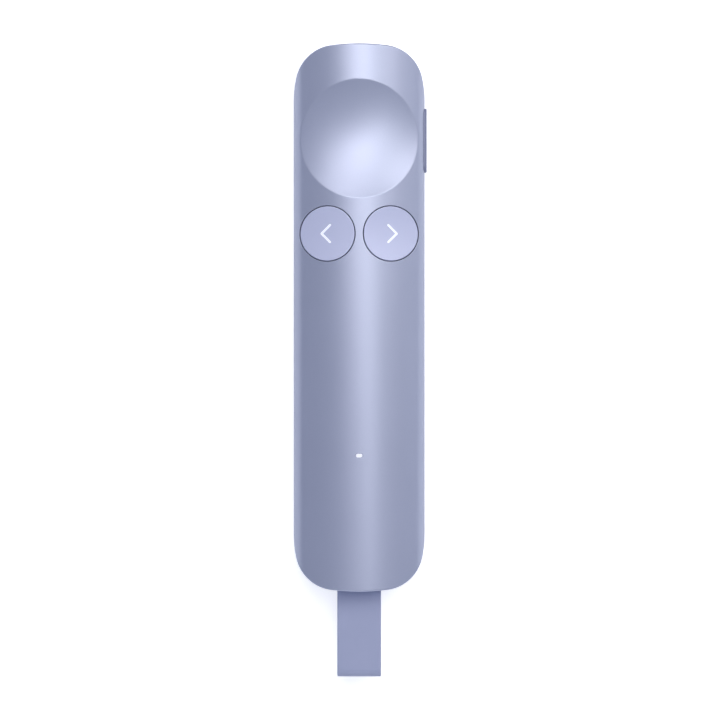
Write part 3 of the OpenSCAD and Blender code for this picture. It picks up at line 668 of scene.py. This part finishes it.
def satin(place):
    """Satin metallic paint: a broad faint mottle of the lavender, fine bright flake, orange-peel of 0.6 mm
    and fine grain, slightly rubbed along the flanks where it is held"""
    mottle = noise(place, 0.018, 3.0)
    flake = noise(place, 0.00022, 1.0, 0.7)
    across = Wire.node("ShaderNodeSeparateXYZ", {0: place}, out="X")
    flank = across.sum("ABSOLUTE", 0.0).between(0.011, 0.0158)
    rubbed = noise(place, 0.006, 4.0, 0.6).between(0.52, 0.8) * flank
    tone = 0.35 * mottle + 0.65 * flake
    colour = blend_colours(tone, (0.430, 0.462, 0.588), (0.494, 0.528, 0.667))
    return {
        "Base Color": colour,
        "Roughness": 0.315 + 0.04 * mottle + 0.05 * flake - 0.05 * rubbed,
        "height": 1.1e-6 * noise(place, 0.0006, 2.0) + 1.6e-6 * flake,
    }


shell_satin = material("shell_satin", satin, Metallic=0.5, Specular_IOR_Level=0.5)
dress(upper_piece, shell_satin)
dress(lower_piece, shell_satin)

# Arrow buttons: two round caps let into the crown below the dish, moulded in a matte lavender plastic; tabs
# under the shell keep them in. Each carries a fine white arrow inlaid flush in its dished top, its white
# given a faint painted glow.
cap_r, cap_ease, cap_sink, cap_flush = 6.55, 0.3, 0.66, 0.05
well_above_waist, cap_above_floor = 1.9, 0.5
cap_ends = crown_at(button_x - cap_r) - cap_flush, crown_at(button_x + cap_r) - cap_flush
cap_mid = np.array([button_x, button_y, crown_at(button_x) - cap_sink])
cap_tilt = np.arctan2(cap_ends[0] - cap_ends[1], 2 * cap_r)
cap_neck = arc_radius(cap_r / np.cos(cap_tilt), (cap_mid[2] - sum(cap_ends) / 2) * np.cos(cap_tilt))
cap_arc = arc_radius(cap_r, cap_sink - cap_flush)
cap_foot = waist_z + well_above_waist + cap_above_floor
circle_dirs = ring((0, 0), 1.0, 128)


def cap_at(plan):
    """Point and normal on the dished top of the cap at (x, y)"""
    z, normal = saddle(plan[..., 0], plan[..., 1], cap_mid, cap_neck, cap_arc, cap_tilt)
    return np.concatenate([plan, z[..., None]], -1), normal


def mirrored(surface):
    """The same surface on the other side of the centre plane, its faces turned round"""
    for points, normals, inner in zip(surface.points, surface.normals, surface.inner):
        for part in {id(v): v for v in (points, normals, inner)}.values():
            part[:, 0] *= -1
    surface.faces = [faces[:, ::-1] for faces in surface.faces]
    return surface


def cap_surface():
    """Saddle top over a disc, an eased edge, an upright skirt and a flat foot closed at the middle"""
    cap = Surface()
    cap_c = np.array([button_x, button_y])
    radii = np.linspace(0, cap_r - cap_ease, 15)[:, None, None]
    top, top_n = cap_at(circle_dirs[None] * radii + cap_c)
    cap.grid(top, top_n, wrap=(False, True))
    crease = cap_at(circle_dirs * cap_r + cap_c)[0]
    out = np.concatenate([circle_dirs, np.zeros((len(circle_dirs), 1))], 1)
    finish = crease - [0, 0, cap_ease]
    cap.grid(*eased(top[-1], top_n[-1], crease, finish, out), wrap=(False, True))
    foot = np.concatenate([crease[:, :2], np.full((len(crease), 1), cap_foot)], 1)
    skirt = mixed(finish, foot, 4)
    cap.grid(skirt, np.broadcast_to(out, skirt.shape), wrap=(False, True))
    middle = np.broadcast_to([button_x, button_y, cap_foot], foot.shape)
    base = mixed(foot, middle, 3)
    cap.grid(base, np.broadcast_to([0.0, 0, -1], base.shape), wrap=(False, True))
    return cap


def arrow_surface():
    """Chevron of two round-ended strokes, a hair proud of the cap's top and let into it; `half` is half a
    stroke's width"""
    tip, stroke, half, a = np.array([1.40, 0.0]), 2.86, 0.25, np.radians(45.0)
    proud, deep, pitch = 0.02, 0.2, 0.2
    up, low = np.array([-np.cos(a), np.sin(a)]), np.array([-np.cos(a), -np.sin(a)])
    out_angle = np.pi / 2 - a

    def arc(centre, start, stop, count=13):
        turn = np.linspace(start, stop, count)
        return centre + half * np.stack([np.cos(turn), np.sin(turn)], 1)

    loop = np.vstack(
        [
            arc(tip, -out_angle, out_angle, 15),
            arc(tip + stroke * up, out_angle, out_angle + np.pi),
            tip - [[half / np.sin(a), 0]],
            arc(tip + stroke * low, -out_angle - np.pi, -out_angle),
        ]
    )
    corners = [loop[:1]]
    for start, stop in zip(loop, np.roll(loop, -1, 0)):
        parts = 1 + int(np.linalg.norm(stop - start) / pitch)
        corners.append(start + (stop - start) * (np.arange(1, parts + 1) / parts)[:, None])
    loop = np.vstack(corners)[:-1] + [button_x, button_y]
    flat, faces = fill([loop], pitch)
    points, normals = cap_at(flat)
    arrow = Surface()
    arrow.add(points + [0, 0, proud], normals, faces, points - [0, 0, deep])
    return arrow


def cap_plastic_look(place):
    """Fine matte plastic: even lavender with a soft mottle and a spark grain of 0.15 mm"""
    mottle, grain = noise(place, 0.007, 3.0), noise(place, 0.00016, 2.0, 0.7)
    return {
        "Base Color": blend_colours(0.5 * mottle + 0.5 * grain, (0.585, 0.615, 0.80), (0.635, 0.665, 0.86)),
        "Roughness": 0.42 + 0.08 * grain + 0.04 * mottle,
        "height": 2.0e-6 * grain,
    }


def arrow_look(place):
    """Milky white inlay, very slightly cloudy"""
    cloud = noise(place, 0.0012, 2.0)
    return {
        "Base Color": blend_colours(cloud, (0.86, 0.88, 0.95), (0.93, 0.95, 1.0)),
        "Roughness": 0.34 + 0.08 * cloud,
        "height": 0.8e-6 * noise(place, 0.0003, 2.0),
    }


cap_plastic = material("cap_plastic", cap_plastic_look, Metallic=0.16, Specular_IOR_Level=0.5)
# the arrows' white inlay gets a faint emission: a painted glow, as no lamp lies behind it
arrow_white = material("arrow_white", arrow_look, Emission_Color=(0.9, 0.93, 1, 1), Emission_Strength=0.3)
for word, mirror in (("back", True), ("next", False)):
    for kind, make, look in (("button", cap_surface, cap_plastic), ("arrow", arrow_surface, arrow_white)):
        surface = mirrored(make()) if mirror else make()
        piece = surface.solid(f"{word}_{kind}_shown", thick=kind == "arrow")
        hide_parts(f"{word}_{kind}")
        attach(piece, f"{word}_button")
        dress(piece, look)

# Side key: a slim round-ended plate in the right flank beside the dish, moulded in a darker slate plastic; it
# stands half a millimetre out of the shell and its face follows the flank.
key_proud, key_ease, key_back_x = 0.5, 0.3, 13.0


def key_face(flat):
    """Face over (y, z): x = centre x + sqrt((radius + proud)^2 - (z - waist)^2), with the shoulder's arc
    above and the belly's below"""
    lift = flat[:, 1] - waist_z
    radius = np.where(lift > 0, shoulder_r, waist_z) + key_proud
    cx = np.where(lift > 0, shoulder_x, belly_x)
    x = cx + np.sqrt(radius**2 - lift**2)
    return np.stack([x, flat[:, 0], flat[:, 1]], 1), np.stack([(x - cx) / radius, 0 * x, lift / radius], 1)


def key_back(points):
    """The points carried straight in to the key's flat back"""
    return points * [0, 1, 1] + [key_back_x, 0, 0]


def key_surface():
    """Face inside the eased edge, the easing round it, and the upright sides down to the back"""
    key = Surface()
    pitch, rows = 0.5, 7
    inner, outer = (obround(key_c, key_len - cut, key_h - cut) for cut in (2 * key_ease, 0))
    flat, faces = fill([inner], pitch)
    points, normals = key_face(flat)
    key.add(points, normals, faces, key_back(points))
    start, start_n = key_face(inner)
    crease = key_face(outer)[0]
    sideways = unit(np.concatenate([np.zeros((len(crease), 1)), outer - inner], 1))
    points, normals = eased(start, start_n, crease, crease - [key_ease, 0, 0], sideways, rows)
    key.grid(points, normals, mixed(key_back(start), key_back(crease), rows), wrap=(False, True))
    return key


key_piece = key_surface().solid("side_key_shown", thick=True)


def key_look(place):
    """Slate lavender plastic with a soft mottle and a faint eroded grain"""
    mottle, grain = noise(place, 0.005, 3.0), noise(place, 0.0002, 2.0, 0.7)
    return {
        "Base Color": blend_colours(0.6 * mottle + 0.4 * grain, (0.205, 0.225, 0.335), (0.245, 0.268, 0.39)),
        "Roughness": 0.42 + 0.1 * grain,
        "height": 2.2e-6 * grain,
    }


key_plastic = material("key_plastic", key_look, Metallic=0.2)
dress(key_piece, key_plastic)
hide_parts("side_key")
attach(key_piece, "side_key")

# Status light: the round-ended end of a clear light pipe, set flush in the crown near the tail; its top is a
# very low dome and glows a little, as a frosted window with a white light behind it does.


def light_surface():
    """Window just below the crown, swollen by dome height * (1 - (x / half width)^2 - (y / half length)^2),
    with upright sides down through the wall"""
    width, length, pitch, dome_h, sink, deep = 1.56, 0.92, 0.12, 0.03, 0.04, 3.0
    light = Surface()
    flat, faces = fill([obround(light_c, width, length, 10)], pitch)
    points, normals = skin(*on_top(flat).T)
    x, y = (flat - light_c).T
    points[:, 2] += dome_h * np.clip(1 - ((x / (width / 2)) ** 2 + (y / (length / 2)) ** 2), 0, 1) - sink
    light.add(points, normals, faces, points - [0, 0, deep])
    return light


light_piece = light_surface().solid("light_pipe_shown", thick=True)
window_white = material("window_white", arrow_look, Emission_Color=(0.93, 0.95, 1, 1), Emission_Strength=0.22)
dress(light_piece, window_white)
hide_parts("light_pipe")
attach(light_piece, "body")

# Strap: one flat band of smooth silicone rubber folded into a flattened loop round the receiver's cross pin;
# it is the pull for the stowed receiver. Its face is bare.
strap_half, strap_t, fold_r, pin_depth, strap_reach, strap_over = 5.27, 1.1, 0.8, 1.4, 20.4, 0.65
pin_y, far_y = -half_len + pin_depth, -half_len - strap_reach + (fold_r + strap_t) - strap_over


def strap_surface():
    """Round-cornered band section carried round a racetrack: two half turns about the pin and the far fold
    joined by straight runs, the band's middle at the fold radius + half its thickness. A normal is the cross
    product of the steps across and along the band."""
    mid_r, corner = fold_r + strap_t / 2, 0.32
    turn = np.linspace(-np.pi / 2, np.pi / 2, 21)
    near = np.stack([pin_y + mid_r * np.cos(turn), stow_z + mid_r * np.sin(turn)], 1)
    far = np.stack([far_y - mid_r * np.cos(turn), stow_z - mid_r * np.sin(turn)], 1)
    out = np.linspace(near[-1], far[0], 40)[1:-1]
    out[:, 1] = stow_z + mid_r
    back = out[::-1] * [1, -1] + [0, 2 * stow_z]
    path = np.vstack([near, out, far, back])
    step = unit(np.roll(path, -1, 0) - np.roll(path, 1, 0))
    outwards = np.stack([-step[:, 1], step[:, 0]], 1)
    a = np.linspace(0, np.pi / 2, 6)
    flat_half, flat_t = strap_half - corner, strap_t / 2 - corner
    quarter = np.stack([flat_half + corner * np.sin(a), flat_t + corner * np.cos(a)], 1)
    flat = np.linspace(-flat_half, flat_half, 22)[1:-1]
    top = np.stack([flat, np.full(len(flat), strap_t / 2)], 1)
    right, left = (quarter * [1, -1])[::-1], (quarter * [-1, 1])[::-1]
    profile = np.vstack([top, quarter, right, -top, -quarter, left])
    x = np.broadcast_to(profile[None, :, 0], (len(path), len(profile)))
    yz = path[:, None] + outwards[:, None] * profile[None, :, 1:]
    points = np.concatenate([x[..., None], yz], -1)
    along = np.roll(points, -1, 0) - np.roll(points, 1, 0)
    across = np.roll(points, -1, 1) - np.roll(points, 1, 1)
    strap = Surface()
    strap.grid(points, np.cross(across, along), wrap=(True, True), flip=True)
    return strap


strap_piece = strap_surface().solid("strap_shown")


def strap_look(place):
    """Smooth matte silicone: even lavender with a soft mottle, a fine skin and a few specks of dust"""
    mottle, skin_grain = noise(place, 0.006, 3.0), noise(place, 0.0004, 3.0, 0.6)
    dust = noise(place, 0.0003, 0.0).between(0.76, 0.82)
    return {
        "Base Color": blend_colours(0.7 * mottle + 0.3 * dust, (0.365, 0.40, 0.565), (0.41, 0.445, 0.615)),
        "Roughness": 0.55 + 0.1 * skin_grain,
        "height": 4e-6 * skin_grain,
    }


strap_rubber = material("strap_rubber", strap_look, Sheen_Weight=0.25, Sheen_Roughness=0.5)
dress(strap_piece, strap_rubber)
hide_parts("strap")
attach(strap_piece, "strap")

# Pieces kept as the frame has them: the receiver's cap, plug and card, the charge socket, screws, board,
# battery and sleeve. Steel is drawn or plated, plastics are moulded, boards are masked green, foil is rolled.


def plain_look(dark, light, rough):
    """A look of two near colours mixed by a soft mottle, with fine grain in the roughness and the height"""

    def look(place):
        mottle, fine = noise(place, 0.004, 3.0), noise(place, 0.0003, 2.0, 0.6)
        return {
            "Base Color": blend_colours(0.7 * mottle + 0.3 * fine, dark, light),
            "Roughness": rough + 0.12 * fine,
            "height": 1.5e-6 * fine,
        }

    return look


def brushed_look(dark, light, rough):
    """Metal drawn along Y: grain stretched 30 times along Y in the colour, the roughness and the height"""

    def look(place):
        drawn = Wire.node("ShaderNodeVectorMath", {0: place, 1: (1, 1 / 30, 1)}, operation="MULTIPLY")
        line, mottle = noise(drawn, 0.00015, 3.0, 0.7), noise(place, 0.003, 2.0)
        return {
            "Base Color": blend_colours(0.6 * line + 0.4 * mottle, dark, light),
            "Roughness": rough + 0.14 * line,
            "height": 0.8e-6 * line,
        }

    return look


drawn_metals = {
    "screw_steel": ((0.10, 0.10, 0.11), (0.17, 0.17, 0.18), 0.36, 0.9),
    "bright_steel": ((0.50, 0.51, 0.53), (0.64, 0.65, 0.67), 0.24, 1.0),
    "contact_gold": ((0.72, 0.48, 0.16), (0.86, 0.62, 0.26), 0.22, 1.0),
}
plain_finishes = {
    "cell_foil": ((0.48, 0.49, 0.50), (0.58, 0.59, 0.60), 0.3, 0.85),
    "board_green": ((0.01, 0.06, 0.035), (0.02, 0.10, 0.055), 0.35, 0.0),
    "chip_black": ((0.012, 0.012, 0.014), (0.025, 0.025, 0.028), 0.5, 0.0),
    "ceramic": ((0.40, 0.30, 0.17), (0.52, 0.41, 0.26), 0.5, 0.0),
    "plunger_white": ((0.66, 0.66, 0.62), (0.76, 0.76, 0.72), 0.45, 0.0),
    "lead_red": ((0.28, 0.01, 0.01), (0.36, 0.02, 0.02), 0.45, 0.0),
    "lead_black": ((0.008, 0.008, 0.008), (0.02, 0.02, 0.02), 0.45, 0.0),
    "sleeve_plastic": ((0.012, 0.014, 0.02), (0.03, 0.033, 0.045), 0.5, 0.0),
}
looks = {made.name: made for made in (cap_plastic, key_plastic, shell_satin, arrow_white, strap_rubber)}
for table, look_of in ((drawn_metals, brushed_look), (plain_finishes, plain_look)):
    for name, (dark, light, rough, metallic) in table.items():
        looks[name] = material(name, look_of(dark, light, rough), Metallic=metallic)
for subpart in frame["record"]["subparts"]:
    dress(nodes[subpart["node"]], looks[subpart["material_slot"]])

# Setting: a pale floor that turns up into a low wall far off, so that every view from above the floor has a
# white ground with the part's own soft shadow; a small soft box close over the head, a long one over the
# left, a wide one nearly overhead, two at the right and a fill from the tail, under a plain dim sky.
wall_r, wall_h, bend_r, floor_drop, spokes = 3.0, 0.5, 0.3, 0.0002, 64
flat_r, bend = [0.35, 0.8, 1.4, 2.2], np.linspace(0, np.pi / 2, 7)
floor_r = np.concatenate([flat_r, wall_r - bend_r + bend_r * np.sin(bend), [wall_r]])
floor_z = np.concatenate([np.zeros(len(flat_r)), bend_r - bend_r * np.cos(bend), [wall_h]]) - floor_drop
rings = len(floor_r)
floor_xy = ring((0, 0), 1.0, spokes)[None] * floor_r[:, None, None]
floor_points = np.concatenate([floor_xy, np.broadcast_to(floor_z[:, None, None], (rings, spokes, 1))], 2)
web = np.arange(rings * spokes).reshape(rings, spokes)
web = np.concatenate([web, web[:, :1]], 1)
floor_faces = np.stack([web[:-1, :-1], web[1:, :-1], web[1:, 1:], web[:-1, 1:]], -1).reshape(-1, 4)
floor_mesh = bpy.data.meshes.new("floor")
floor_mesh.from_pydata(floor_points.reshape(-1, 3).tolist(), [], floor_faces.tolist() + [list(range(spokes))])
floor = bpy.data.objects.new("floor", floor_mesh)
bpy.context.scene.collection.objects.link(floor)
floor_look = bpy.data.materials.new("floor_white")
floor_look.use_nodes = True
Wire.tree = floor_look.node_tree
floor_look.node_tree.nodes.clear()
camera_ray, glossy_ray, passing_ray = (
    Wire.node("ShaderNodeLightPath", out=f"Is {path} Ray") for path in ("Camera", "Glossy", "Transmission")
)
seen = camera_ray + 0.45 * glossy_ray.sum("MAXIMUM", passing_ray)
floor_place = Wire.node("ShaderNodeTexCoord", out="Object")
far_off = Wire.node("ShaderNodeVectorMath", {0: floor_place}, out="Value", operation="LENGTH")
strength = seen * (0.6 + 0.4 * far_off.between(0.25, 1.3))
matte = Wire.node("ShaderNodeBsdfDiffuse", {"Color": (0.86, 0.87, 0.89, 1)})
glow = Wire.node("ShaderNodeEmission", {"Color": (1, 1, 1, 1), "Strength": strength})
both = Wire.node("ShaderNodeAddShader", {0: matte, 1: glow})
output = floor_look.node_tree.nodes.new("ShaderNodeOutputMaterial")
Wire.join(both, output.inputs["Surface"])
floor.data.materials.append(floor_look)

world = bpy.data.worlds.new("sky")
bpy.context.scene.world = world
world.use_nodes = True
sky = world.node_tree.nodes["Background"]
sky.inputs["Color"].default_value = (0.84, 0.95, 1.31, 1)
sky.inputs["Strength"].default_value = 0.285


def soft_box(name, lean, size, power, colour=(1, 1, 1), away=1.2):
    """Rectangular lamp so many metres away, facing the part, its direction leaning from upright by two angles
    (degrees) towards +X and +Y: (tan lean x, tan lean y, 1), made one long"""
    data = bpy.data.lights.new(name, "AREA")
    data.shape, data.size, data.size_y = "RECTANGLE", *size
    data.energy, data.color = power, colour
    made = bpy.data.objects.new(name, data)
    towards = Vector((*np.tan(np.radians(lean)).tolist(), 1.0)).normalized()
    made.location = away * towards
    made.rotation_euler = towards.to_track_quat("Z", "Y").to_euler()
    bpy.context.scene.collection.objects.link(made)


soft_box("over_head", (5, 27), (0.4, 0.3), 0.4, (0.98, 1, 0.93), away=0.45)
soft_box("over_left", (-8, 28), (0.5, 1.1), 2.4, (1, 0.93, 0.94))
soft_box("right_head", (35, 28), (0.6, 0.5), 2.45, (1, 0.95, 0.92))
soft_box("near", (7, 7), (0.6, 0.28), 1.35, (1, 0.98, 0.95))
soft_box("right_low", (64, 20), (0.5, 0.5), 0.45)
soft_box("tail_low", (0, -68), (0.6, 0.25), 2.4)

camera_data = bpy.data.cameras.new("camera")
sensor_w, camera_height, picture_w, picture_z = 36.0, 0.70, 0.1730, 0.011
camera_data.sensor_width = sensor_w
camera_data.lens = sensor_w * (camera_height - picture_z) / picture_w
camera = bpy.data.objects.new("camera", camera_data)
camera.location = (0.0002, -0.01015, camera_height)
bpy.context.scene.collection.objects.link(camera)
bpy.context.scene.camera = camera
bpy.context.scene.view_settings.view_transform = "Standard"
